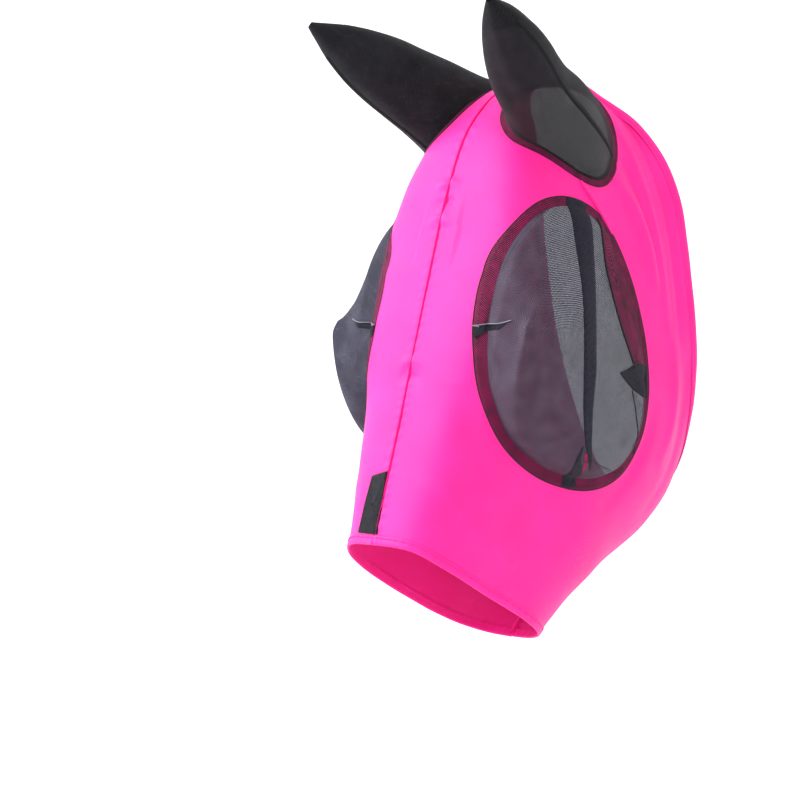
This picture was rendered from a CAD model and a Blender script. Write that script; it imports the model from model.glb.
import math

import bpy
import numpy as np
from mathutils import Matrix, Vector
from mathutils.bvhtree import BVHTree


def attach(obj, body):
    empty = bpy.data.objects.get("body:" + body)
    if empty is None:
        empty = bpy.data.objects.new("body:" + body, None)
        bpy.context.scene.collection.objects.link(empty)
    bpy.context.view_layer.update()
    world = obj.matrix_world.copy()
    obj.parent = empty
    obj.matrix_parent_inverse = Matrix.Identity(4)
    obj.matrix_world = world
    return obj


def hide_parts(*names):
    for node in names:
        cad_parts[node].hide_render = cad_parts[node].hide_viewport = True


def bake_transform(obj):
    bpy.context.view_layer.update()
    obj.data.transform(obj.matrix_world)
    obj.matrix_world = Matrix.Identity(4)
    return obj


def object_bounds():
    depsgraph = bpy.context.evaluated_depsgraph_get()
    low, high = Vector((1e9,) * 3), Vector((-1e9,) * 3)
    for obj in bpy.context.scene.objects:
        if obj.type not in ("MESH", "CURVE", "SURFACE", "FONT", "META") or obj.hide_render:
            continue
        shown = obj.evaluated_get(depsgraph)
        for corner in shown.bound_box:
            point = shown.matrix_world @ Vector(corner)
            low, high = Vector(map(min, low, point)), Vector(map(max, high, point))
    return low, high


# A pull-on stretch fly mask for a horse, shaped as it is worn.
# Every length below is in millimetres, and new_mesh turns them into metres.
# The horse faces -Y and +X is its left side. Paired pieces are shaped on the left.
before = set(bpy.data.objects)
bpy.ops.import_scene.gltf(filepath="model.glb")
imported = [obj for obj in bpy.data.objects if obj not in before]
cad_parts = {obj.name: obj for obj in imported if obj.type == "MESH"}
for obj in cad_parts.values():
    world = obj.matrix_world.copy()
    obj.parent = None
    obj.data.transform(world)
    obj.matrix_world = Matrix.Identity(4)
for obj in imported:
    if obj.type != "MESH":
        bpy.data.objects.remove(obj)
CAD_BOX = [list(corner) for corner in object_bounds()]
MM = 0.001
SIDES = {"left": 1, "right": -1}

# Half cross-sections of the head, neck to nose: face y, z, jaw y, z, half width,
# share of the depth at which it is widest, roundness of the face and of the jaw.
HEAD_SECTIONS = np.array([
    (176, 14, 150, -268, 92, 0.45, 2.2, 2.5),
    (118, 8, 132, -304, 92, 0.45, 2.2, 2.5),
    (60, 6, 122, -338, 93, 0.47, 2.2, 2.5),
    (8, 0, 112, -368, 96, 0.50, 2.2, 2.5),
    (-52, -10, 96, -393, 102, 0.52, 2.3, 2.5),
    (-96, -48, 74, -412, 106, 0.52, 2.9, 2.5),
    (-121, -104, 50, -427, 106, 0.51, 3.7, 2.5),
    (-139, -165, 25, -440, 102, 0.51, 4.1, 2.5),
    (-157, -232, 2, -455, 95, 0.51, 4.0, 2.6),
    (-174, -298, -18, -471, 84, 0.50, 3.4, 2.7),
    (-191, -358, -34, -486, 75, 0.50, 3.1, 2.8),
    (-206, -412, -46, -501, 67, 0.50, 3.0, 2.8),
    (-218, -460, -58, -516, 61, 0.50, 3.0, 2.8),
    (-229, -505, -71, -545, 57, 0.50, 3.0, 2.8),
])

# Edges of the mask in side view, (y, z).
NECK_EDGE = np.array([
    (12, 40), (10, 0), (15, -14), (27, -26), (45, -43), (62, -72), (74, -108), (81, -150),
    (89, -200), (97, -250), (104, -300), (108, -345), (109, -400), (108, -450),
])
NOSE_EDGE = np.array([
    (-250, -398), (-206, -407), (-180, -424), (-140, -448), (-98, -470),
    (-66, -487), (-46, -497), (0, -522),
])

# The eye openings lie in a plane turned outwards, with g forwards to back.
EYE_TURN = math.radians(9)
EYE_OUT = np.array([math.cos(EYE_TURN), -math.sin(EYE_TURN), 0.0])
EYE_BACK = np.array([math.sin(EYE_TURN), math.cos(EYE_TURN), 0.0])
UP = np.array([0.0, 0.0, 1.0])
EYE_EDGE = np.array([
    (-51, -110), (-84, -117), (-112, -146), (-130, -190), (-139, -240),
    (-136, -283), (-117, -323), (-80, -351), (-32, -363), (8, -352),
    (32, -318), (38, -270), (30, -218), (8, -160), (-17, -124),
])
EYE_MIDDLE = np.array([-45, -237])
EYE_RING_WIDTH = 8.0
# Each eye cup as rings: distance out, scale of the opening, then ring middle.
CUP_RINGS = np.array([
    (98, 1.00, -45, -237),
    (107, 0.985, -46.5, -236),
    (114, 0.94, -51, -239),
    (121, 0.83, -60, -247),
    (129, 0.70, -70, -253),
    (136.5, 0.53, -83, -253),
    (142.5, 0.36, -97, -247),
    (147.5, 0.19, -110, -236),
    (150.5, 0.07, -118, -226),
])
EYE_TAPE_LINE = np.array([
    (-42, -112), (-43.5, -125), (-46, -164), (-49, -205), (-52, -250), (-54, -290), (-51, -317),
    (-46, -331), (-40, -344),
])
EYE_TAPE_WIDTHS = [23, 21, 19, 17, 16, 15, 12, 8, 1.5]
EYE_TAPE_ARM = np.array([(-56, -323), (-57.5, -336), (-52, -349), (-50, -360)])
EYE_TAPE_ARM_WIDTHS = [1.5, 6, 12, 15]
# Folds of the cup in the eye plane: line, height and half width.
CUP_FOLDS = [
    ([(-138, -223), (-127, -221), (-112, -214), (-98, -210)], -2.0, 5.0),
    ([(36, -268), (10, -266), (-16, -260)], -3.0, 6.0),
    ([(5, -274), (14, -302), (22, -332)], -1.8, 3.5),
    ([(-41, -335), (-22, -343), (6, -351)], -1.2, 3.0),
    ([(-20, -262), (-34, -258), (-48, -262)], 1.2, 8.0),
    (EYE_TAPE_LINE, 1.4, 14.0),
]
# Where the front and rear meshes of a cup meet, under the tape.
EYE_SPLIT = np.array([
    (-38, -60), (-43, -120), (-46, -164), (-52, -250), (-53, -300), (-48, -345), (-46, -430),
])
# The cloth edge that shows through the cup at its upper rear, and the area it hides.
EYE_INNER_LINE = np.array([
    (-20, -128), (-23, -145), (-22, -171), (-13, -204), (-4, -229), (6, -250), (11, -259),
])
EYE_REAR_BAND = [
    (-19, -131), (-22, -145), (-21, -171), (-12, -204), (-3, -229), (7, -250), (14, -262), (27, -256),
    (23, -229), (16, -204), (4, -171), (-7, -148), (-16, -131),
]

# The ears: hinge point, tip, and rings along the axis as (distance, centre
# across, centre back, long radius, short radius, angle of the long radius).
EAR_BASE = np.array([58.0, -35.0, -50.0])
EAR_TIPS = {"left": np.array([114.0, -176.0, 52.0]), "right": np.array([120.0, -176.0, 44.0])}
EAR_RINGS = {
    "left": np.array([
        (-70, 2, -2, 42, 22, 122), (-30, 3, 0, 55, 30, 122), (0, 0, 1, 51, 34, 122),
        (30, -5, 0, 42, 37, 122), (58, -6, -1, 36, 33, 122), (84, -5, -2, 33, 30, 0),
        (108, -3, -1, 31, 27, 0), (132, -1, 0, 26, 22, 0), (155, 0, 0, 17, 15, 0),
        (170, 0, 0, 9, 8, 0), (180, 0, 0, 3, 3, 0),
    ]),
    "right": np.array([
        (-70, 2, -2, 42, 22, 122), (-30, 3, 0, 55, 30, 122), (0, 0, 1, 51, 34, 120),
        (30, -5, 0, 43, 36, 112), (58, -6, 0, 39, 31, 100), (84, -4, 0, 36, 28, 92),
        (108, -3, 0, 33, 25, 90), (132, -1, 0, 27, 20, 90), (155, 0, 0, 18, 14, 90),
        (172, 0, 0, 9, 8, 90), (183, 0, 0, 3, 3, 90),
    ]),
}
EAR_RIM_WIDTH = 6.0
EAR_TIP_START = 156.0

# How far the cloth reaches in under the eye mesh, round the outline from the top.
EYE_ALLOWANCE = np.array([5, 10, 11, 9, 8, 9, 11, 10, 6, 6, 5, 4, 18, 17, 9])

# The sewn nose tab, seen from the front as (x, z), to the right of the middle.
NOSE_TAB = np.array([(1.8, -345), (21, -350), (23.5, -374), (25, -399), (-2.5, -399)])

# The short rolled seam from the ear to the eye, in the eye plane.
ROLLED_SEAM = [(-33, -96), (-26, -106), (-17, -119), (-10, -130), (-3, -142)]
# Folded patches on the eye cup, and the lines that are sewn or creased into it.
FRONT_DART = [(-138.5, -221), (-130, -219), (-125, -217.5), (-128, -222), (-132, -227), (-138.5, -231)]
REAR_TUCK = [(-12, -261), (2, -258), (16, -253), (35, -256), (35, -284), (22, -283), (6, -276)]
FRONT_DART_SEAM = [(-138, -220.5), (-129, -218.5), (-123, -215.5)]
LOWER_CREASE = [(6, -277), (10, -288), (14, -302), (19, -318), (23, -334)]
BOTTOM_CREASE = [(-41, -335), (-30, -340), (-14, -345), (4, -350)]
REAR_TUCK_SEAM = [(-12, -261), (2, -257), (15, -251)]

# Sections of raised pieces: share of the width or of the outline, then the lift.
CUP_STRIP_SECTION = [
    (-0.5, 0.15), (-0.47, 0.8), (-0.25, 1), (0, 1.05), (0.25, 1), (0.47, 0.8), (0.5, 0.15),
]
EAR_STRIP_SECTION = [(-0.5, 0.2), (-0.45, 0.8), (0, 1.0), (0.45, 0.8), (0.5, 0.2)]
TAB_SECTION = [(1.0, 0.1), (0.985, 1.3), (0.9, 1.75), (0.86, 1.5), (0.6, 1.5), (0.3, 1.5), (0.03, 1.5)]

STITCH_INSET = 5.6
CLOTH_ROWS = 300
CLOTH_COLUMNS = 190
HEM_STEPS = 230
SEAM_STEPS = 260
CUP_SPOKES = 240
CUP_PROFILE_STEPS = 110
CUP_ROWS = 58
EAR_SEARCH_ROWS = 90
EAR_ROWS = 96
EAR_TIP_ROWS = 26
MESH_PITCH = 2.0

# The camera looks at a point of the mask, in metres, from a turn and rise in degrees.
LOOK_AT = Vector((-0.0459, -0.1367, -0.2865))
CAMERA_TURN = math.radians(50)
CAMERA_RISE = math.radians(2)
CAMERA_FAR = 2.6
CAMERA_LENS = 132.9


# ---------------------------------------------------------------- curves

def through(rows, t):
    """The rows of a table at fractional row numbers, on a smooth curve."""
    t = np.clip(np.asarray(t, float), 0, len(rows) - 1)
    i = np.minimum(t.astype(int), len(rows) - 2)
    f = (t - i)[..., None]
    last = len(rows) - 1
    p0, p1 = rows[np.maximum(i - 1, 0)], rows[i]
    p2, p3 = rows[i + 1], rows[np.minimum(i + 2, last)]
    m1, m2 = (p2 - p0) / 2, (p3 - p1) / 2
    return (
        p1 * (2 * f**3 - 3 * f**2 + 1) + m1 * (f**3 - 2 * f**2 + f)
        + p2 * (3 * f**2 - 2 * f**3) + m2 * (f**3 - f**2)
    )


def evenly(points, count, closed=False):
    """A smooth line through the points, as count points evenly spaced."""
    points = np.asarray(points, float)
    if closed:
        points = np.vstack([points[-2:], points, points[:3]])
        dense = through(points, np.linspace(2, len(points) - 3, 40 * len(points)))
    else:
        dense = through(points, np.linspace(0, len(points) - 1, 40 * len(points)))
    run = np.r_[0, np.cumsum(np.linalg.norm(np.diff(dense, axis=0), axis=1))]
    at = np.linspace(0, run[-1], count, endpoint=not closed)
    return np.stack([np.interp(at, run, dense[:, k]) for k in range(dense.shape[1])], 1)


def straight(corners):
    """Points about 1.5 mm apart along the straight sides of a closed outline."""
    corners = np.asarray(corners, float)
    line = []
    for a, b in zip(corners, np.roll(corners, -1, 0)):
        count = max(int(math.dist(a, b) / 1.5), 2)
        line.append(a + (b - a) * np.linspace(0, 1, count, endpoint=False)[:, None])
    return np.vstack(line)


def inset(outline, middle, amount):
    """Points of a closed outline moved towards its middle."""
    ray = np.asarray(outline, float) - middle
    length = np.linalg.norm(ray, axis=1, keepdims=True)
    return middle + ray * (1 - np.reshape(amount, (-1, 1)) / length)


def nearest_on(points, line):
    """Signed distance of 2D points from a line, positive on its left, and how far along."""
    signed = np.full(len(points), 1e9)
    place = np.zeros(len(points))
    for k, (a, b) in enumerate(zip(line[:-1], line[1:])):
        run = b - a
        share = np.clip((points - a) @ run / (run @ run), 0, 1)
        gap = points - a - share[:, None] * run
        distance = np.hypot(gap[:, 0], gap[:, 1])
        turn = run[0] * (points[:, 1] - a[1]) - run[1] * (points[:, 0] - a[0])
        closer = distance < np.abs(signed)
        signed[closer] = np.copysign(distance, turn)[closer]
        place[closer] = (k + share)[closer]
    return signed, place / (len(line) - 1)


def side_of(points, line):
    """Signed distance of 2D points from a line, positive on its left."""
    return nearest_on(points, line)[0]


def inside_distance(points, outline):
    """Signed distance of 2D points inside a closed outline, negative outside."""
    ring = np.vstack([outline, outline[:1]])
    area = np.sum(ring[:-1, 0] * ring[1:, 1] - ring[1:, 0] * ring[:-1, 1])
    return side_of(points, ring) * np.sign(area)


def bell(distance, width):
    """A smooth hump, 1 at no distance and fading out past its width."""
    return np.exp(-((distance / width) ** 2))


# ---------------------------------------------------------------- meshes

def new_mesh(name, points, faces, uv=None, mirror=1):
    """A new smooth-shaded mesh object, from points in millimetres."""
    points = np.asarray(points, float) * MM
    points = points * (mirror, 1, 1)
    if mirror < 0:
        faces = [tuple(reversed(face)) for face in faces]
    mesh = bpy.data.meshes.new(name)
    mesh.from_pydata(points.tolist(), [], [tuple(int(i) for i in face) for face in faces])
    if uv is not None:
        layer = mesh.uv_layers.new(name="weave")
        corners = np.empty(len(mesh.loops), int)
        mesh.loops.foreach_get("vertex_index", corners)
        layer.data.foreach_set("uv", (np.asarray(uv, float)[corners] * MM).ravel())
    mesh.shade_smooth()
    piece = bpy.data.objects.new(name, mesh)
    bpy.context.collection.objects.link(piece)
    return piece


def grid_faces(rows, columns, closed=False):
    """Quads of a grid of points stored row by row, each row a ring if closed."""
    faces = []
    for i in range(rows - 1):
        for j in range(columns if closed else columns - 1):
            here, above, j2 = i * columns, (i + 1) * columns, (j + 1) % columns
            faces.append((here + j, here + j2, above + j2, above + j))
    return faces


def grid_lengths(grid):
    """Lengths along the rows and along the columns of a grid, for its weave."""
    along = np.zeros(grid.shape[:2])
    across = np.zeros(grid.shape[:2])
    across[:, 1:] = np.cumsum(np.linalg.norm(np.diff(grid, axis=1), axis=2), axis=1)
    along[1:, :] = np.cumsum(np.linalg.norm(np.diff(grid, axis=0), axis=2), axis=0)
    return np.stack([across, along], 2)


def grid_piece(name, grid, mirror=1):
    """A piece from a grid of points."""
    uv = grid_lengths(grid).reshape(-1, 2)
    return new_mesh(name, grid.reshape(-1, 3), grid_faces(*grid.shape[:2]), uv, mirror)


def unit(vectors):
    """Directions of vectors, each of length 1."""
    return vectors / np.maximum(np.linalg.norm(vectors, axis=-1, keepdims=True), 1e-9)


def tree_of(points, faces, heart):
    """A surface to settle pieces on, its faces turned to look away from heart."""
    points = np.asarray(points, float)
    quads = np.array(faces)
    diagonals = points[quads[:, 2]] - points[quads[:, 0]], points[quads[:, 3]] - points[quads[:, 1]]
    away = np.sum(np.cross(*diagonals) * (points[quads[:, 0]] - heart), axis=1) > 0
    quads = np.where(away[:, None], quads, quads[:, ::-1])
    return BVHTree.FromPolygons(points.tolist(), quads.tolist())


def settle(tree, points):
    """The nearest place and outward direction on a surface, for each point."""
    places, normals = [], []
    for point in points:
        place, normal, _, _ = tree.find_nearest(Vector(point))
        places.append(place)
        normals.append(normal)
    return np.array(places), np.array(normals)


def softened(values, passes, closed):
    """Neighbouring rows averaged together a few times."""
    for _ in range(passes):
        if closed:
            values = (np.roll(values, 1, 0) + 2 * values + np.roll(values, -1, 0)) / 4
        else:
            inner = (values[:-2] + 2 * values[1:-1] + values[2:]) / 4
            values = np.vstack([values[:1], inner, values[-1:]])
    return values


def cut_away(points, faces, keep):
    """The faces where keep is positive, their edge moved on to where it is zero."""
    keep = np.array(keep, float)
    points = np.array(points, float)
    edges = set()
    for face in faces:
        for a, b in zip(face, face[1:] + face[:1]):
            edges.add((min(a, b), max(a, b)))
    moves = {}
    for a, b in edges:
        if keep[a] * keep[b] < 0:
            near, far = (a, b) if abs(keep[a]) < abs(keep[b]) else (b, a)
            share = keep[near] / (keep[near] - keep[far])
            if near not in moves or share > moves[near][0]:
                moves[near] = (share, far)
    moved = points.copy()
    for near, (share, far) in moves.items():
        moved[near] = points[near] + share * (points[far] - points[near])
        keep[near] = 0
    kept = [f for f in faces if min(keep[list(f)]) >= 0 and max(keep[list(f)]) > 0]
    used = sorted({i for face in kept for i in face})
    place = {old: new for new, old in enumerate(used)}
    return moved[used], [tuple(place[i] for i in face) for face in kept], np.array(used)


def tube(path, radius, sides=6):
    """Points and faces of a round thread along a path."""
    path = np.asarray(path, float)
    ahead = unit(np.vstack([path[1] - path[0], path[2:] - path[:-2], path[-1] - path[-2]]))
    lean = np.where(np.abs(ahead[:, 2:]) > 0.8, (1.0, 0.0, 0.0), (0.0, 0.0, 1.0))
    out = unit(np.cross(ahead, lean))
    up = np.cross(ahead, out)
    turns = np.linspace(0, 2 * math.pi, sides, endpoint=False)
    ring = out[:, None] * np.cos(turns)[:, None] + up[:, None] * np.sin(turns)[:, None]
    points = path[:, None] + ring * np.reshape(radius, (-1, 1, 1))
    faces = grid_faces(len(path), sides, closed=True)
    faces.append(tuple(range(sides))[::-1])
    faces.append(tuple(len(path) * sides - sides + k for k in range(sides)))
    return points.reshape(-1, 3), faces


def joined(parts):
    """Several sets of points and faces as one."""
    points, faces, start = [], [], 0
    for part_points, part_faces in parts:
        points.append(part_points)
        faces += [tuple(i + start for i in face) for face in part_faces]
        start += len(part_points)
    return np.vstack(points), faces


def stitches(path, normals, pitch, length, radius, slant=0.0, closed=False):
    """Short raised stitches along a path, each dipping into the cloth at its ends."""
    run = np.linalg.norm(np.diff(path, axis=0), axis=1).sum()
    count = int(run / pitch)
    rows = evenly(np.hstack([path, normals]), 4 * count, closed)
    parts = []
    for k in range(0, 4 * count - 4, 4):
        place, normal = rows[k + 2, :3], unit(rows[k + 2, 3:])
        ahead = unit(rows[k + 3, :3] - rows[k + 1, :3])
        across = np.cross(normal, ahead)
        line = unit(ahead + slant * across) * length / 2
        lift = normal * radius
        thread = [place - line - lift, place - 0.6 * line + 0.6 * lift, place + lift,
                  place + 0.6 * line + 0.6 * lift, place + line - lift]
        parts.append(tube(thread, radius * np.array([0.5, 0.9, 1, 0.9, 0.5]), sides=6))
    return joined(parts)


# ---------------------------------------------------------------- the head form

# Soft folds of the cloth in side view: (y, z) line, height and half width.
FOLDS = [
    ([(12, -14), (37, -52), (54, -105), (66, -189), (70, -240)], -3.6, 5.5),
    ([(-5, -84), (6, -103), (18, -124), (27, -150), (38, -196)], 3.6, 7.5),
    ([(14, -31), (28, -89), (42, -163), (54, -235)], 2.8, 5.5),
    ([(8, -70), (20, -100), (32, -140), (44, -195)], -2.6, 5.0),
    ([(33, -286), (23, -321), (4, -352), (-26, -381)], -2.4, 9.0),
    ([(57, -225), (64, -269), (61, -314), (46, -349)], 2.2, 7.0),
    ([(80, -250), (82, -300), (72, -350), (40, -395)], -2.2, 8.0),
    ([(-127, -106), (-131, -138), (-137, -173)], -1.8, 7.0),
    ([(-158, -270), (-154, -316), (-140, -352)], -1.7, 8.0),
    ([(-185, -352), (-150, -392), (-110, -430)], 1.5, 9.0),
]
# Stronger puckers of the middle seam: place along it, from the neck, and height.
SEAM_PUCKERS = [(-96, 1.5), (-112, -1.3), (-127, 1.4), (-250, 1.1), (-262, -1.0)]
HEAD_HEART = np.array([0.0, -40.0, -230.0])


def head_points(station, angle):
    """Points of the left half of the head, by section number and turn from the face."""
    row = through(HEAD_SECTIONS, station)
    half, widest = row[..., 4], row[..., 5]
    depth = np.hypot(row[..., 2] - row[..., 0], row[..., 3] - row[..., 1])
    to_face = angle <= 90
    bend = 2 / np.where(to_face, row[..., 6], row[..., 7])
    reach = np.where(to_face, widest, 1 - widest) * depth
    c, s = np.cos(np.radians(angle)), np.sin(np.radians(angle))
    down = widest * depth - np.sign(c) * np.abs(c) ** bend * reach
    y = row[..., 0] + (row[..., 2] - row[..., 0]) * down / depth
    z = row[..., 1] + (row[..., 3] - row[..., 1]) * down / depth
    return np.stack([half * np.abs(s) ** bend * (angle < 180), y, z], -1)


class Skin:
    """The left half of the head as a grid evenly spaced from the face to the jaw."""

    stations = np.linspace(0, len(HEAD_SECTIONS) - 1, 261)

    def __init__(self, columns):
        """Finds the turn from the face at which each column crosses each section."""
        shares = np.linspace(0, 1, columns)
        angles = np.linspace(0, 180, 721)
        table = []
        for station in self.stations:
            points = head_points(np.full(len(angles), station), angles)
            run = np.r_[0, np.cumsum(np.linalg.norm(np.diff(points, axis=0), axis=1))]
            table.append(np.interp(shares * run[-1], run, angles))
        self.angles = np.array(table)
        self.angles[:, 0], self.angles[:, -1] = 0, 180

    def at(self, stations):
        """Points where each column has its own list of section numbers."""
        angle = np.empty_like(stations)
        for j in range(stations.shape[1]):
            angle[:, j] = np.interp(stations[:, j], self.stations, self.angles[:, j])
        return head_points(stations, angle)

    def crossing(self, line, last):
        """The section number where each column meets a line in side view."""
        grid = np.repeat(self.stations[:, None], self.angles.shape[1], 1)
        points = self.at(grid)
        side = side_of(points[..., 1:].reshape(-1, 2), evenly(line, 90)).reshape(grid.shape)
        found = []
        for j in range(grid.shape[1]):
            turns = np.nonzero(np.diff(np.sign(side[:, j])))[0]
            i = turns[-1 if last else 0]
            share = side[i, j] / (side[i, j] - side[i + 1, j])
            found.append(self.stations[i] + share * (self.stations[i + 1] - self.stations[i]))
        return np.array(found)

    def edges(self):
        """The section numbers of the neck edge and of the nose edge."""
        return self.crossing(NECK_EDGE, last=False), self.crossing(NOSE_EDGE, last=True)


def outward(grid):
    """Outward directions of a grid of the left half of the head."""
    along = np.gradient(grid, axis=0)
    across = np.gradient(grid, axis=1)
    normal = unit(np.cross(across, along))
    middle = grid[:, :1] * 0 + HEAD_HEART
    if np.sum((grid - middle) * normal) < 0:
        normal = -normal
    for edge in (0, -1):
        normal[:, edge, 0] = 0
    return unit(normal)


def fold(points, line, height, width):
    """A soft ridge or valley along a line, fading out at its ends."""
    distance, place = nearest_on(points, evenly(line, 24))
    return height * bell(distance, width) * np.sin(math.pi * place) ** 0.6


def relief(points, side):
    """How far the cloth stands off the smooth head form at points of one half."""
    x, y, z = points[:, 0], points[:, 1], points[:, 2]
    phase = 0.0 if side == "left" else 1.9
    scale = 1.0 if side == "left" else 0.8
    height = np.zeros(len(points))
    for line, ridge, width in FOLDS:
        height += scale * fold(points[:, 1:], line, ridge, width) * (x > 25)
    height += 0.45 * np.sin(y / 21 + phase) * np.sin(z / 27 + 1 + phase)
    height += 0.22 * np.sin((y + 0.7 * z) / 9.5 + phase) * np.sin((z - y) / 13.0)
    run = z - 0.45 * y
    height += -0.7 * bell(x, 0.9) + 0.35 * bell(x - 3.2, 2.0)
    height += 0.3 * np.sin(run / 1.35 + 2 * np.sin(run / 11) + phase) * bell(x - 4.5, 4.0)
    for place, ridge in SEAM_PUCKERS:
        height += 1.4 * ridge * bell(z - place + 0.25 * x, 4.5) * bell(x - 6, 8) * (y < 0)
    return height


def raised(grid, side):
    """A grid of the smooth form moved out on to the cloth."""
    flat = grid.reshape(-1, 3)
    height = relief(flat, side).reshape(grid.shape[:2] + (1,))
    return grid + outward(grid) * height


def form_tree(side):
    """The whole cloth surface, both halves shaped as this side, to settle pieces on."""
    rows, columns = 320, 150
    stations = np.repeat(np.linspace(0.2, 13, rows)[:, None], columns, 1)
    grid = raised(Skin(columns).at(stations), side)
    faces = grid_faces(rows, columns)
    halves = [(grid.reshape(-1, 3), faces), ((grid * (-1, 1, 1)).reshape(-1, 3), faces)]
    points, faces = joined(halves)
    return tree_of(points, faces, HEAD_HEART)


# ---------------------------------------------------------------- the eye plane

def eye_place(gz, out):
    """Points in space from their places in the eye plane and how far out they are."""
    gz = np.asarray(gz, float)
    return EYE_OUT * np.reshape(out, (-1, 1)) + EYE_BACK * gz[:, :1] + UP * gz[:, 1:]


def eye_flat(points):
    """Places of points in the eye plane, and how far out they are."""
    return np.stack([points @ EYE_BACK, points @ UP], 1), points @ EYE_OUT


# A line that misses the surface settles at its edge, this far in from where it starts.
EYE_PLANE_OUT = 200.0
PAST_EDGE = 105


def cast(tree, gz):
    """Where lines square to the eye plane first meet a surface, and its direction."""
    places, normals = [], []
    for start in eye_place(gz, EYE_PLANE_OUT):
        place, normal, _, _ = tree.ray_cast(Vector(start), Vector(-EYE_OUT))
        if place is None:
            place, normal, _, _ = tree.find_nearest(Vector(start - EYE_OUT * PAST_EDGE))
        places.append(place)
        normals.append(normal if normal.dot(Vector(EYE_OUT)) > 0 else -normal)
    return np.array(places), np.array(normals)


def closed_outline(points, count):
    """A smooth closed line whose points keep their places when the outline is inset."""
    points = np.asarray(points, float)
    padded = np.vstack([points[-2:], points, points[:3]])
    return through(padded, np.linspace(2, len(points) + 2, count, endpoint=False))


# ---------------------------------------------------------------- the cloth

def cloth_grid(side):
    """One half of the hood, from the neck edge to the nose edge."""
    skin = Skin(CLOTH_COLUMNS)
    neck, nose = skin.edges()
    share = np.linspace(0, 1, CLOTH_ROWS)[:, None]
    return raised(skin.at(neck + (nose - neck) * share), side)


def hole_edge():
    """The cloth's edge inside the eye opening, in the eye plane."""
    return closed_outline(inset(EYE_EDGE, EYE_MIDDLE, EYE_ALLOWANCE), 240)


def hood_cloth(side, ear):
    """One half of the hood, cut away round the eye opening and the ear."""
    grid = cloth_grid(side)
    points = grid.reshape(-1, 3)
    uv = grid_lengths(grid).reshape(-1, 2)
    flat, out = eye_flat(points)
    eye = np.where(out > 60, -inside_distance(flat, hole_edge()), 50)
    keep = np.minimum(eye, ear.outside(points))
    faces = grid_faces(CLOTH_ROWS, CLOTH_COLUMNS)
    points, faces, used = cut_away(points, faces, keep)
    piece = new_mesh("hood_cloth_" + side, points, faces, uv[used], SIDES[side])
    return finished(piece, PINK, ["face_panel_" + side])


def edge_loop(line, last, trees):
    """Both halves of an edge of the hood as one loop: places, outward and inward."""
    skin = Skin(170)
    stations = skin.crossing(line, last)
    half = evenly(skin.at(stations[None, :])[0], HEM_STEPS)
    step = evenly(skin.at(stations[None, :] + (-0.15 if last else 0.15))[0], HEM_STEPS)
    halves = []
    for side, mirror in SIDES.items():
        places, normals = settle(trees[side], half)
        normals = softened(normals, 4, closed=False)
        normals[[0, -1], 0] = 0
        normals = unit(normals)
        ahead = unit(np.gradient(places, axis=0))
        inward = unit(np.cross(normals, ahead))
        inward *= np.sign(np.sum(inward * (step - half), axis=1, keepdims=True))
        values = [places * (mirror, 1, 1), normals * (mirror, 1, 1), inward * (mirror, 1, 1)]
        halves.append([v if side == "left" else v[::-1][1:-1] for v in values])
    return [np.vstack(pair) for pair in zip(*halves)]


# The section of a turned and stitched hem: distance in from the edge, and lift.
HEM_SECTION = np.array([
    (8.4, 0.0), (8.1, 0.55), (7.2, 0.85), (6.4, 0.9), (5.6, 0.6), (4.8, 0.95), (3.4, 1.15),
    (1.8, 1.15), (0.5, 0.95), (-0.3, 0.3), (-0.35, -0.5), (0.3, -1.1), (1.6, -1.2), (5, -1.1), (8, -1.0),
])


def hem_grid(loop, pucker):
    """The turned edge swept round a loop, with the small puckers of its stitching."""
    places, normals, inward = loop
    run = np.r_[0, np.cumsum(np.linalg.norm(np.diff(places, axis=0), axis=1))]
    ripple = pucker * np.sin(run / 1.25 + 1.5 * np.sin(run / 17))[:, None]
    rows = []
    for distance, lift in HEM_SECTION:
        wave = ripple * bell(distance - 5.6, 2.5)
        rows.append(places + inward * distance + normals * (lift + wave))
    return np.stack(rows, 1)


def hem(name, nodes, line, last, trees):
    """A hem with its row of stitches."""
    loop = edge_loop(line, last, trees)
    grid = hem_grid(loop, 0.16)
    grid = np.concatenate([grid, grid[:1]])
    band = finished(grid_piece(name, grid), PINK, nodes)
    places, normals, inward = loop
    path = places + inward * STITCH_INSET + normals * 0.75
    row = stitches(path, normals, 3.0, 2.3, 0.3, closed=True)
    return [band, finished(new_mesh(name + "_stitches", *row), PINK_THREAD)]


def middle_line(share_low, share_high, jaw):
    """The middle line of the face or of the jaw between the two hems."""
    skin = Skin(9)
    column = -1 if jaw else 0
    low, high = (edge[column] for edge in skin.edges())
    stations = low + (high - low) * np.linspace(share_low, share_high, SEAM_STEPS)
    line = skin.at(np.repeat(stations[:, None], 9, 1))[:, column]
    return evenly(line * (0, 1, 1), SEAM_STEPS)


def seam_allowance(name, node, line):
    """The two trimmed cloth edges of a middle seam, standing inside the hood."""
    ahead = unit(np.gradient(line, axis=0))
    down = unit(np.cross((1.0, 0.0, 0.0), ahead))
    down *= np.sign(np.sum(down * (HEAD_HEART - line), axis=1, keepdims=True))
    run = np.arange(len(line))[:, None]
    rows = []
    for depth in np.linspace(-0.9, 4.6, 8):
        lean = 0.25 + 0.16 * max(depth, 0) * (1 + 0.5 * np.sin(run / 9))
        rows.append(line + down * depth + np.array([1.0, 0, 0]) * lean)
    right = [row * (-1, 1, 1) for row in rows]
    grid = np.stack(rows + right[::-1], 1)
    return finished(grid_piece(name, grid), PINK, [node])


def seam_stitches(name, line, tree):
    """The stitches that show in the valley of a middle seam."""
    places, normals = settle(tree, line + (0.4, 0, 0))
    normals = softened(normals * (0, 1, 1), 4, closed=False)
    places = places * (0, 1, 1) + unit(normals) * 0.1
    row = stitches(places, unit(normals), 2.6, 1.7, 0.24)
    return finished(new_mesh(name, *row), PINK_THREAD)


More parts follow.
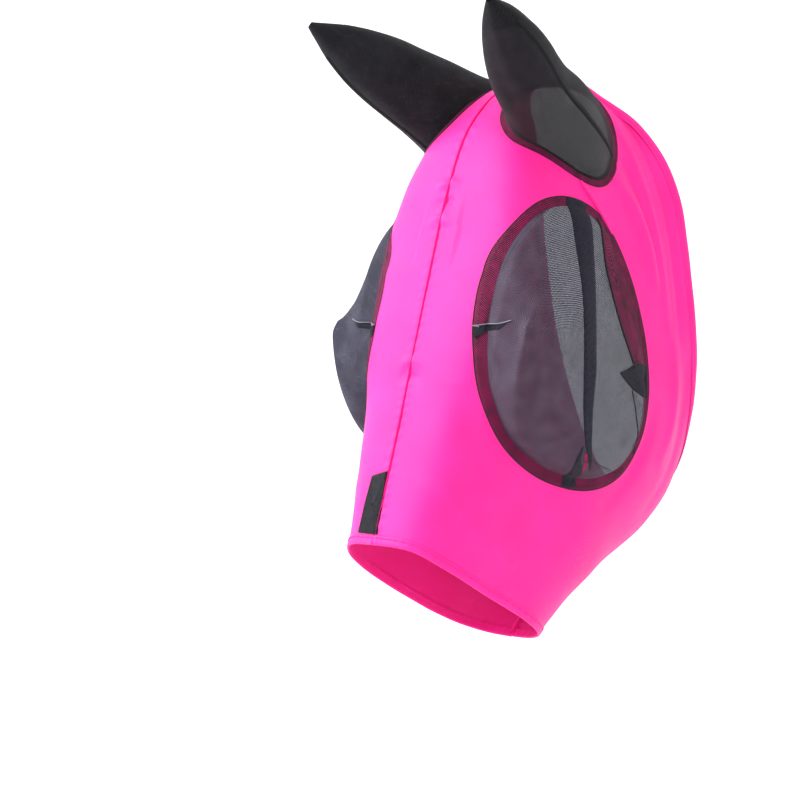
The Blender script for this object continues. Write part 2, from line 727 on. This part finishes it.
# ---------------------------------------------------------------- the eye cups

class Cup:
    """One eye cup: its ring on the cloth, then the mesh up to its furthest point."""

    def __init__(self, tree):
        """Shapes the cup from where each of its profiles leaves the cloth."""
        outer = closed_outline(EYE_EDGE, CUP_SPOKES)
        inner = closed_outline(inset(EYE_EDGE, EYE_MIDDLE, EYE_RING_WIDTH), CUP_SPOKES)
        rings = np.vstack([CUP_RINGS, (151.0, 0.0005, -119.0, -225.0)])
        profiles = []
        for k in range(CUP_SPOKES):
            spoke = inner[k] - EYE_MIDDLE
            table = np.stack([
                rings[:, 2] + rings[:, 1] * spoke[0], rings[:, 3] + rings[:, 1] * spoke[1], rings[:, 0],
            ], 1)
            profiles.append(through(table, np.linspace(0, len(table) - 1, CUP_PROFILE_STEPS)))
        profiles = np.array(profiles)
        ground = cast(tree, profiles[..., :2].reshape(-1, 2))[0] @ EYE_OUT
        above = profiles[..., 2] - ground.reshape(profiles.shape[:2]) - 1.2
        starts = []
        for k in range(CUP_SPOKES):
            low = np.nonzero(above[k] < 0)[0]
            starts.append(0 if len(low) == 0 else min(low[-1] + 1, 60))
        starts = softened(np.array(starts, float)[:, None], 6, closed=True)[:, 0]
        rows = []
        for k in range(CUP_SPOKES):
            line = through(profiles[k], np.linspace(starts[k], CUP_PROFILE_STEPS - 1, 80))
            rows.append(evenly(line, CUP_ROWS))
        rows = np.array(rows)
        self.base = rows[:, 0, :2]
        self.outer = outer
        self.dome = self.creased(rows).transpose(1, 0, 2)
        self.ring = self.ring_grid(tree)
        self.angles = np.arctan2(inner[:, 1] - EYE_MIDDLE[1], inner[:, 0] - EYE_MIDDLE[0])
        points, faces = self.everything()
        self.tree = tree_of(points, faces, HEAD_HEART)

    @staticmethod
    def creased(rows):
        """Places of the dome in space, with the folds that its darts pull into it."""
        flat = rows[..., :2].reshape(-1, 2)
        out = rows[..., 2].reshape(-1)
        for line, ridge, width in CUP_FOLDS:
            out = out + fold(flat, line, ridge, width)
        out = out + 0.5 * np.sin(flat[:, 0] / 15) * np.sin(flat[:, 1] / 19)
        return eye_place(flat, out).reshape(rows.shape)

    def ring_grid(self, tree):
        """The flat ring of mesh between the sewn edge and the foot of the dome."""
        lifts = [0.1, 0.75, 0.95, 1.0, 1.0, 1.05, 1.2]
        rows = []
        for share, lift in zip(np.linspace(0, 1, len(lifts)), lifts):
            places, normals = cast(tree, self.outer + (self.base - self.outer) * share)
            rows.append(places + softened(normals, 3, closed=True) * lift)
        rows[-1] = self.dome[0]
        return np.array(rows)

    def weave(self, grid, start=0.0):
        """Weave lengths measured out from the dome's furthest point."""
        steps = np.linalg.norm(np.diff(grid[::-1], axis=0), axis=2)
        reach = start + np.vstack([np.zeros((1, grid.shape[1])), np.cumsum(steps, axis=0)])[::-1]
        return np.stack([reach * np.cos(self.angles), reach * np.sin(self.angles)], 2)

    def everything(self):
        grid = np.concatenate([self.ring, self.dome[1:]])
        return grid.reshape(-1, 3), grid_faces(len(grid), CUP_SPOKES, closed=True)

    def ring_piece(self, side):
        dome_reach = np.linalg.norm(np.diff(self.dome, axis=0), axis=2).sum(0)
        uv = self.weave(self.ring, dome_reach).reshape(-1, 2)
        faces = grid_faces(len(self.ring), CUP_SPOKES, closed=True)
        piece = new_mesh("eye_ring_" + side, self.ring.reshape(-1, 3), faces, uv, SIDES[side])
        return finished(piece, RING_MESH, ["eye_binding_" + side])

    def panel(self, side, end):
        """The dome in front of, or behind, the upright tape."""
        points = self.dome.reshape(-1, 3)
        uv = self.weave(self.dome).reshape(-1, 2)
        flat = eye_flat(points)[0]
        keep = side_of(flat, evenly(EYE_SPLIT, 60)) * (-1 if end == "front" else 1)
        faces = grid_faces(len(self.dome), CUP_SPOKES, closed=True)
        points, faces, used = cut_away(points, faces, keep)
        piece = new_mesh(f"cup_mesh_{end}_{side}", points, faces, uv[used], SIDES[side])
        return finished(piece, CUP_MESH, [f"eye_mesh_{end}_{side}"])

    def strip(self, line, widths, lift, count=110):
        """A band lying on the cup along a line in the eye plane."""
        line = evenly(line, count)
        widths = through(np.reshape(widths, (-1, 1)), np.linspace(0, len(widths) - 1, count))
        ahead = unit(np.gradient(line, axis=0))
        beside = np.stack([-ahead[:, 1], ahead[:, 0]], 1)
        rows = []
        for share, height in CUP_STRIP_SECTION:
            places, normals = cast(self.tree, line + beside * widths * share)
            rows.append(places + softened(normals, 5, closed=False) * lift * height)
        return np.stack(rows, 1)

    def patch(self, outline, lift):
        """A flat patch lying on the cup, as a fan of rows to its middle."""
        outline = np.array(outline, float)
        middle = outline.mean(axis=0)
        ring = straight(outline)
        rows = []
        for share in (1.0, 0.97, *np.linspace(0.9, 0.02, 12)):
            places, normals = cast(self.tree, middle + (ring - middle) * share)
            rows.append(places + unit(normals) * lift * (0.1 if share == 1.0 else 1.0))
        grid = np.array(rows)
        return np.concatenate([grid, grid[:, :1]], axis=1)

    def thread(self, line, radius, lift, count=60):
        places, normals = cast(self.tree, evenly(line, count))
        return tube(places + softened(normals, 3, closed=False) * lift, radius)


# ---------------------------------------------------------------- the ears

class Ear:
    """One ear cover: a tube of mesh from its sewn rim on the cloth to its tip."""

    spokes = 96

    def __init__(self, side):
        """Sets up the ear's own directions and its rings, as reaches along each spoke."""
        self.side = side
        self.axis = unit(EAR_TIPS[side] - EAR_BASE)
        self.across = unit(np.array([1.0, 0, 0]) - self.axis * self.axis[0])
        self.back = np.cross(self.axis, self.across)
        rings = EAR_RINGS[side].astype(float)
        self.first_turn = math.radians(rings[-1, 5])
        self.turns = self.first_turn + np.linspace(0, 2 * math.pi, self.spokes + 1)
        lean = self.turns - np.radians(rings[:, 5:6])
        reach = 1 / np.hypot(np.cos(lean) / rings[:, 3:4], np.sin(lean) / rings[:, 4:5])
        self.table = np.hstack([rings[:, :3], reach])

    def outside(self, points):
        """How far points on the head are from the edge of the cloth's ear hole."""
        rel = points - EAR_BASE
        distance, u, v = rel @ self.axis, rel @ self.across, rel @ self.back
        row = through(self.table, np.interp(distance, self.table[:, 0], range(len(self.table))))
        turn = np.arctan2(v - row[:, 2], u - row[:, 1]) - self.first_turn
        column = np.mod(turn, 2 * math.pi) / (2 * math.pi) * self.spokes
        low = np.minimum(column.astype(int), self.spokes - 1)
        share = column - low
        here = np.arange(len(points))
        reach = row[here, 3 + low] * (1 - share) + row[here, 4 + low] * share
        return np.hypot(u - row[:, 1], v - row[:, 2]) - reach + 4.0

    def wall(self, rows):
        """Places on the ear's wall, one list of ring numbers for each spoke."""
        places = []
        for k in range(self.spokes + 1):
            line = through(self.table[:, [0, 1, 2, 3 + k]], rows[:, k])
            turn = self.turns[k]
            height = np.clip(line[:, 0] / 180, 0, 1)
            fold_height = 1.3 * np.sin(3 * turn + 0.8 + 1.5 * height) * np.sin(math.pi * height)
            fold_height += 0.5 * np.sin(7 * turn + 6 * height) * np.sin(math.pi * height)
            reach = line[:, 3] + fold_height
            places.append(
                EAR_BASE + self.axis * line[:, :1]
                + self.across * (line[:, 1] + reach * math.cos(turn))[:, None]
                + self.back * (line[:, 2] + reach * math.sin(turn))[:, None]
            )
        return np.stack(places, 1)

    def ring_number(self, distance):
        """The ring number at a distance along the axis."""
        dense = np.linspace(0, len(self.table) - 1, 400)
        return np.interp(distance, through(self.table[:, :1], dense)[:, 0], dense)

    def fit(self, tree):
        """Finds where the wall leaves the head, and shapes the cover from there."""
        low, high = self.ring_number(-45), self.ring_number(70)
        search = np.repeat(np.linspace(low, high, EAR_SEARCH_ROWS)[:, None], self.spokes + 1, 1)
        grid = self.wall(search)
        flat = grid.reshape(-1, 3)
        places, normals = settle(tree, flat)
        height = np.sum((flat - places) * normals, axis=1).reshape(grid.shape[:2])
        starts = []
        for k in range(self.spokes):
            inside = np.nonzero(height[:, k] < 1.0)[0]
            place = min(inside[-1] + 1, EAR_SEARCH_ROWS - 1) if len(inside) else 0
            starts.append(search[place, k])
        starts = softened(np.array(starts)[:, None], 3, closed=True)[:, 0]
        starts = np.r_[starts, starts[0]]
        top = self.ring_number(EAR_TIP_START)
        share = np.linspace(0, 1, EAR_ROWS)[:, None]
        self.cover = self.wall(starts + (top - starts) * share)
        last = len(self.table) - 1
        tip_rings = np.linspace(self.ring_number(EAR_TIP_START - 3), last, EAR_TIP_ROWS)[:, None]
        self.tip = self.wall(np.repeat(tip_rings, self.spokes + 1, 1))
        self.rim = self.rim_grid(tree)
        grid = np.concatenate([self.rim, self.cover[1:]])
        self.tree = tree_of(grid.reshape(-1, 3), grid_faces(len(grid), self.spokes + 1), HEAD_HEART)

    def rim_grid(self, tree):
        """The mesh's edge lying on the cloth round the foot of the cover."""
        base = self.cover[0]
        normals = settle(tree, base)[1]
        outward_way = base - base[:-1].mean(axis=0)
        outward_way -= np.sum(outward_way * normals, axis=1, keepdims=True) * normals
        outward_way = unit(outward_way)
        rows = []
        for distance, lift in ((EAR_RIM_WIDTH, 0.1), (5.4, 0.8), (4, 0.95), (2.5, 1.0), (1, 1.2)):
            places, normals = settle(tree, base + outward_way * distance)
            rows.append(places + softened(normals, 3, closed=False) * lift)
        rows.append(base)
        return np.array(rows)

    def line_on(self, column):
        """A line up the cover along one spoke, from just above its foot."""
        return evenly(evenly(self.cover[:, column], 200)[3:], 90)

    def strip(self, line, width, lift):
        """A band lying on the cover along a line."""
        normals = settle(self.tree, line)[1]
        ahead = unit(np.gradient(line, axis=0))
        centre = EAR_BASE + self.axis * ((line - EAR_BASE) @ self.axis)[:, None]
        normals = unit(softened(normals, 5, closed=False))
        normals *= np.sign(np.sum(normals * (line - centre), axis=1, keepdims=True))
        beside = np.cross(normals, ahead)
        rows = []
        for share, height in EAR_STRIP_SECTION:
            places, _ = settle(self.tree, line + beside * width * share)
            rows.append(places + normals * lift * height)
        return np.stack(rows, 1), normals

    def bend(self, piece):
        """Lets a piece bend where the ear turns on the head."""
        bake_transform(piece)


# ---------------------------------------------------------------- materials

class Shade:
    """A Principled material with short ways to add the nodes that it needs."""

    def __init__(self, name, colour, roughness, **sockets):
        self.material = bpy.data.materials.new(name)
        self.material.use_nodes = True
        self.nodes = self.material.node_tree.nodes
        self.links = self.material.node_tree.links
        self.shader = self.nodes["Principled BSDF"]
        self.shader.inputs["Base Color"].default_value = (*colour, 1)
        self.shader.inputs["Roughness"].default_value = roughness
        for socket, value in sockets.items():
            self.shader.inputs[socket.replace("_", " ")].default_value = value

    def node(self, kind, **values):
        node = self.nodes.new(kind)
        for key, value in values.items():
            setattr(node, key, value)
        return node

    def wire(self, source, target):
        self.links.new(source, target)

    def maths(self, operation, *values):
        """One calculation on numbers and the outputs of other nodes."""
        node = self.node("ShaderNodeMath", operation=operation)
        for socket, value in zip(node.inputs, values):
            if isinstance(value, (int, float)):
                socket.default_value = value
            else:
                self.wire(value, socket)
        return node.outputs[0]

    def weave_axes(self):
        """The two weave lengths of the piece, in metres."""
        place = self.node("ShaderNodeUVMap", uv_map="weave")
        split = self.node("ShaderNodeSeparateXYZ")
        self.wire(place.outputs[0], split.inputs[0])
        return split.outputs[0], split.outputs[1]

    def wave(self, length, pitch):
        """A sine wave along a length, of a pitch in millimetres."""
        return self.maths("SINE", self.maths("MULTIPLY", length, 2 * math.pi / (pitch * MM)))

    def weave(self, across_pitch, along_pitch):
        """High and low places of a weave, from -1 to 1."""
        across, along = self.weave_axes()
        return self.maths("MULTIPLY", self.wave(across, across_pitch), self.wave(along, along_pitch))

    def noise(self, size, detail=3.0):
        """Soft noise with features of about a size in millimetres."""
        place = self.node("ShaderNodeTexCoord")
        noise = self.node("ShaderNodeTexNoise")
        noise.inputs["Scale"].default_value = 1 / (size * MM)
        noise.inputs["Detail"].default_value = detail
        self.wire(place.outputs["Object"], noise.inputs["Vector"])
        return noise.outputs["Fac"]

    def mixed_colour(self, factor, low, high):
        """A colour that goes from low to high with a factor."""
        ramp = self.node("ShaderNodeValToRGB")
        for element, place, colour in zip(ramp.color_ramp.elements, (0.3, 0.7), (low, high)):
            element.position = place
            element.color = (*colour, 1)
        self.wire(factor, ramp.inputs[0])
        self.wire(ramp.outputs[0], self.shader.inputs["Base Color"])

    def bump(self, height, distance):
        """Raised detail, of a height in millimetres."""
        bump = self.node("ShaderNodeBump")
        bump.inputs["Distance"].default_value = distance * MM
        bump.inputs["Strength"].default_value = 1.0
        self.wire(height, bump.inputs["Height"])
        self.wire(bump.outputs[0], self.shader.inputs["Normal"])


def stretch_knit(name, low, high):
    """Smooth stretch cloth: fine upright ribs, a slight shine and soft shade changes."""
    shade = Shade(name, high, 0.48, Sheen_Weight=0.16, Sheen_Roughness=0.35, Specular_IOR_Level=0.22)
    shade.shader.inputs["Sheen Tint"].default_value = (0.75, 0.6, 1.0, 1)
    across, along = shade.weave_axes()
    ribs = shade.wave(across, 0.75)
    loops = shade.maths("ABSOLUTE", shade.wave(along, 1.1))
    knit = shade.maths("MULTIPLY_ADD", ribs, 0.5, shade.maths("MULTIPLY", loops, 0.6))
    shade.bump(knit, 0.07)
    tint = shade.maths("MULTIPLY_ADD", knit, 0.09, 0.3)
    shade.mixed_colour(shade.maths("MULTIPLY_ADD", shade.noise(38), 0.4, tint), low, high)
    return shade.material


def open_mesh(name, low, high, pitch, opening):
    """Knitted mesh with small round holes between its threads."""
    shade = Shade(name, high, 0.7, Sheen_Weight=0.03, Specular_IOR_Level=0.14)
    grid = shade.weave(pitch, pitch)
    threads = shade.maths("SUBTRACT", opening, grid)
    solid = shade.maths("MULTIPLY_ADD", threads, 6.0, 0.5)
    clear = shade.node("ShaderNodeClamp")
    shade.wire(solid, clear.inputs["Value"])
    shade.wire(clear.outputs[0], shade.shader.inputs["Alpha"])
    shade.bump(shade.maths("MULTIPLY", grid, -1.0), 0.12)
    shade.mixed_colour(shade.noise(16), low, high)
    return shade.material


def mesh_over_cloth(name, thread, cloth):
    """Black mesh lying on pink cloth, which shows through its small holes."""
    shade = Shade(name, thread, 0.7, Sheen_Weight=0.03, Specular_IOR_Level=0.14)
    grid = shade.weave(MESH_PITCH, MESH_PITCH)
    shade.bump(shade.maths("MULTIPLY", grid, -1.0), 0.15)
    uneven = shade.maths("MULTIPLY_ADD", shade.noise(9), 0.6, -0.02)
    shade.mixed_colour(shade.maths("MULTIPLY_ADD", grid, 0.55, uneven), thread, cloth)
    return shade.material


def folded_mesh(name, low, high):
    """Mesh folded over on itself, with no light through it."""
    shade = Shade(name, high, 0.75, Sheen_Weight=0.04, Specular_IOR_Level=0.12)
    across, along = shade.weave_axes()
    first, second = shade.wave(across, 1.1), shade.wave(along, 1.1)
    third = shade.wave(shade.maths("ADD", across, along), 0.95)
    grid = shade.maths("MULTIPLY_ADD", shade.maths("MULTIPLY", first, second), 0.7, third)
    shade.bump(grid, 0.12)
    rough = shade.maths("MULTIPLY_ADD", grid, 0.18, shade.noise(2.2))
    shade.mixed_colour(rough, low, high)
    return shade.material


def spun_thread(name, low, high):
    """Sewing thread with its ply twist."""
    shade = Shade(name, high, 0.6, Sheen_Weight=0.04, Specular_IOR_Level=0.2)
    shade.bump(shade.noise(0.4, 2.0), 0.05)
    shade.mixed_colour(shade.noise(1.5), low, high)
    return shade.material


def woven_tab(name, low, high):
    """Dense plain-woven webbing."""
    shade = Shade(name, high, 0.8, Sheen_Weight=0.05, Specular_IOR_Level=0.12)
    rows = shade.weave(1.0, 1.3)
    shade.bump(rows, 0.12)
    shade.mixed_colour(shade.maths("MULTIPLY_ADD", rows, 0.2, shade.noise(3)), low, high)
    return shade.material


PINK = stretch_knit("pink_stretch_knit", (0.88, 0.008, 0.22), (0.98, 0.020, 0.31))
PINK_THREAD = spun_thread("pink_thread", (0.72, 0.006, 0.16), (0.90, 0.014, 0.25))
BLACK_THREAD = spun_thread("black_thread", (0.005, 0.005, 0.008), (0.013, 0.012, 0.017))
PALE_THREAD = spun_thread("pale_thread", (0.15, 0.14, 0.17), (0.24, 0.22, 0.27))
CUP_MESH = open_mesh("eye_cup_mesh", (0.026, 0.025, 0.040), (0.048, 0.046, 0.068), MESH_PITCH, 0.82)
RING_MESH = mesh_over_cloth("ring_mesh", (0.012, 0.004, 0.009), (0.44, 0.007, 0.12))
EAR_MESH = open_mesh("ear_cover_mesh", (0.004, 0.004, 0.006), (0.011, 0.010, 0.013), 1.4, 0.92)
FOLDED = folded_mesh("folded_black_mesh", (0.008, 0.008, 0.014), (0.022, 0.020, 0.034))
EAR_FOLD = folded_mesh("ear_folded_mesh", (0.003, 0.003, 0.004), (0.009, 0.008, 0.011))
TAB = woven_tab("black_tab", (0.008, 0.008, 0.011), (0.022, 0.021, 0.027))


# ---------------------------------------------------------------- putting it together

def finished(piece, material, nodes=(), body="hood", ear=None):
    """Gives a piece its material, record slot, body and the CAD nodes that it replaces."""
    piece.data.materials.append(material)
    if nodes:
        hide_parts(*nodes)
    if ear is None:
        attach(piece, body)
    else:
        ear.bend(piece)
    return piece


def build_hems(trees):
    neck = hem("neck_hem_cloth", ["neck_hem", "throat_hem"], NECK_EDGE, False, trees)
    return neck + hem("nose_hem_cloth", ["nose_hem"], NOSE_EDGE, True, trees)


def build_seams(trees):
    pieces = []
    for name, jaw in (("face_seam", False), ("jaw_seam", True)):
        line = middle_line(0.02, 0.98, jaw)
        pieces.append(seam_allowance(name + "_allowance", name, line))
        pieces.append(seam_stitches(name + "_stitches", line, trees["left"]))
    return pieces


def build_nose_tab(tree):
    """The plain black tab, with a stitched border, beside the middle seam."""
    outline = straight(NOSE_TAB)
    middle = outline.mean(axis=0)
    rows = []
    for share, lift in TAB_SECTION:
        ring = middle + (outline - middle) * share
        places = []
        for x, z in ring:
            place, normal, _, _ = tree.ray_cast(Vector((x, -400, z)), Vector((0, 1, 0)))
            places.append(np.array(place + normal * lift * (1 if normal.y < 0 else -1)))
        rows.append(places + places[:1])
    piece = grid_piece("nose_tab", np.array(rows), SIDES["right"])
    return finished(piece, TAB, ["nose_patch"])


def build_eye(side, tree):
    """The ring, the two meshes and everything sewn on one eye cup. Gives back the ring."""
    cup = Cup(tree)
    ring = cup.ring_piece(side)
    front, rear = cup.panel(side, "front"), cup.panel(side, "rear")

    def laid(name, grid, material, nodes=()):
        piece = grid_piece(f"{name}_{side}", grid, SIDES[side])
        return finished(piece, material, [f"{node}_{side}" for node in nodes])

    def sewn_line(name, shape, material):
        return finished(new_mesh(f"{name}_{side}", *shape, None, SIDES[side]), material)

    tape = cup.strip(EYE_TAPE_LINE, EYE_TAPE_WIDTHS, 0.8)
    arm = cup.strip(EYE_TAPE_ARM, EYE_TAPE_ARM_WIDTHS, 0.7, 40)
    sewn = [
        laid("cup_tape", tape, FOLDED, ["eye_tape"]),
        laid("cup_tape_arm", arm, FOLDED),
        laid("cup_dart", cup.patch(FRONT_DART, 0.8), FOLDED, ["front_dart"]),
        laid("cup_tuck", cup.patch(REAR_TUCK, 0.9), FOLDED, ["rear_tuck"]),
        laid("eye_rear_band", cup.patch(EYE_REAR_BAND, 0.35), RING_MESH),
    ]

    outer = cup.ring[0]
    piping = tube(np.vstack([outer, outer[:1]]), 0.55)
    row = cup.ring[2]
    border = stitches(row, unit(row - HEAD_HEART), 2.8, 1.9, 0.24, 0.5, closed=True)
    creases = joined([
        cup.thread(LOWER_CREASE, 0.5, 0.3),
        cup.thread(BOTTOM_CREASE, 0.4, 0.3),
        cup.thread(REAR_TUCK_SEAM, 0.5, 0.9),
        cup.thread(EYE_INNER_LINE, 0.9, 0.5),
    ])
    places, normals = cast(tree, hole_edge())
    edge = places + 0.4 * normals
    raw_edge = tube(np.vstack([edge, edge[:1]]), 0.6)
    sewn += [
        sewn_line("eye_piping", piping, BLACK_THREAD),
        sewn_line("eye_stitches", border, BLACK_THREAD),
        sewn_line("eye_creases", creases, BLACK_THREAD),
        sewn_line("cup_dart_thread", cup.thread(FRONT_DART_SEAM, 0.5, 0.9), PALE_THREAD),
        sewn_line("eye_allowance_edge", raw_edge, BLACK_THREAD),
    ]
    return ring


def build_rolled_seam(side, tree):
    """The rolled seam between the forehead and cheek cloth, from the ear to the eye."""
    places, normals = cast(tree, evenly(ROLLED_SEAM, 80))
    radius = 2.2 * np.sin(np.linspace(0.35, math.pi - 0.05, 80)) ** 0.5
    points, faces = tube(places + normals * 0.5, radius, sides=10)
    piece = new_mesh("rolled_seam_cloth_" + side, points, faces, points[:, 1:], SIDES[side])
    return finished(piece, PINK, ["rolled_seam_" + side])


def build_ear(side, ear):
    """The cover, rim, tip and seams of one ear."""
    mirror = SIDES[side]
    moving = "ear_" + side
    covered = [f"{node}_{side}" for node in ("ear_root", "ear_front", "ear_back")]
    cover = finished(grid_piece("ear_cover_" + side, ear.cover, mirror), EAR_MESH, covered, ear=ear)
    rim = grid_piece("ear_rim_" + side, ear.rim, mirror)
    finished(rim, RING_MESH, ["ear_binding_" + side])
    tip = grid_piece("ear_tip_cloth_" + side, ear.tip, mirror)
    finished(tip, EAR_FOLD, ["ear_tip_" + side], moving)
    for letter, column in (("a", 0), ("b", ear.spokes // 2)):
        grid, normals = ear.strip(ear.line_on(column), 5.0, 0.7)
        seam = grid_piece(f"ear_seam_tape_{letter}_{side}", grid, mirror)
        finished(seam, EAR_FOLD, [f"ear_seam_{letter}_{side}"], ear=ear)
        points, faces = stitches(grid[:, 2], normals, 2.6, 3.4, 0.26, 1.0)
        row = new_mesh(f"ear_seam_stitches_{letter}_{side}", points, faces, None, mirror)
        finished(row, BLACK_THREAD, ear=ear)
    ring = ear.rim[1][:-1]
    points, faces = stitches(ring, unit(ring - HEAD_HEART), 2.4, 3.0, 0.28, 0.9, closed=True)
    overlock = new_mesh("ear_rim_stitches_" + side, points, faces, None, mirror)
    finished(overlock, BLACK_THREAD)


def build_floor(towards):
    """A pale floor that runs up into a pale backdrop, square to the camera."""
    low = CAD_BOX[0][2] - 0.12
    start, radius = 1.6, 1.2
    bend = [(-9.0, low), (start, low)]
    for turn in np.linspace(0.1, 1.5, 14):
        bend.append((start + radius * math.sin(turn), low + radius * (1 - math.cos(turn))))
    bend.append((start + radius, low + 6))
    back = np.array(towards.xy)
    side_way = np.array([-back[1], back[0]])
    grid = []
    for reach, height in bend:
        row = []
        for across in np.linspace(-7, 7, 5):
            x, y = side_way * across - back * reach
            row.append((x / MM, y / MM, height / MM))
        grid.append(row)
    floor = grid_piece("floor", np.array(grid))
    floor.data.materials.append(Shade("pale_floor", (0.93, 0.93, 0.93), 0.9).material)


def build_light(name, place, size, power):
    """A soft round lamp turned to the mask."""
    light = bpy.data.lights.new(name, "AREA")
    light.shape, light.size, light.energy = "DISK", size, power
    light.color = (0.93, 0.94, 1.0)
    lamp = bpy.data.objects.new(name, light)
    bpy.context.collection.objects.link(lamp)
    lamp.location = place
    lamp.rotation_euler = (LOOK_AT - Vector(place)).to_track_quat("-Z", "Y").to_euler()


def build_camera(towards):
    """A long lens, looking at the mask from a direction."""
    lens = bpy.data.cameras.new("camera")
    lens.lens, lens.sensor_width = CAMERA_LENS, 36.0
    camera = bpy.data.objects.new("camera", lens)
    bpy.context.collection.objects.link(camera)
    camera.location = LOOK_AT + towards * CAMERA_FAR
    camera.rotation_euler = (-towards).to_track_quat("-Z", "Y").to_euler()
    bpy.context.scene.camera = camera


def build_stage():
    """Floor, lights, a white surround and the camera."""
    level = math.cos(CAMERA_RISE)
    towards = Vector((math.sin(CAMERA_TURN) * level, -math.cos(CAMERA_TURN) * level, math.sin(CAMERA_RISE)))
    build_floor(towards)
    build_light("key", (-1.8, -1.9, 1.2), 1.3, 125)
    build_light("near_fill", (2.2, -1.4, 1.4), 1.2, 22)
    build_light("rim", (0.6, 2.2, 1.8), 1.4, 8)
    world = bpy.data.worlds.new("studio")
    world.use_nodes = True
    background = world.node_tree.nodes["Background"]
    background.inputs["Color"].default_value = (1, 1, 1, 1)
    background.inputs["Strength"].default_value = 1.0
    bpy.context.scene.world = world
    bpy.context.scene.view_settings.view_transform = "Standard"
    build_camera(towards)


build_stage()
trees = {side: form_tree(side) for side in SIDES}
hood_pieces = build_hems(trees) + build_seams(trees) + [build_nose_tab(trees["right"])]
for side in SIDES:
    tree = trees[side]
    ear = Ear(side)
    ear.fit(tree)
    cloth = hood_cloth(side, ear)
    build_ear(side, ear)
    ring = build_eye(side, tree)
    rolled = build_rolled_seam(side, tree)
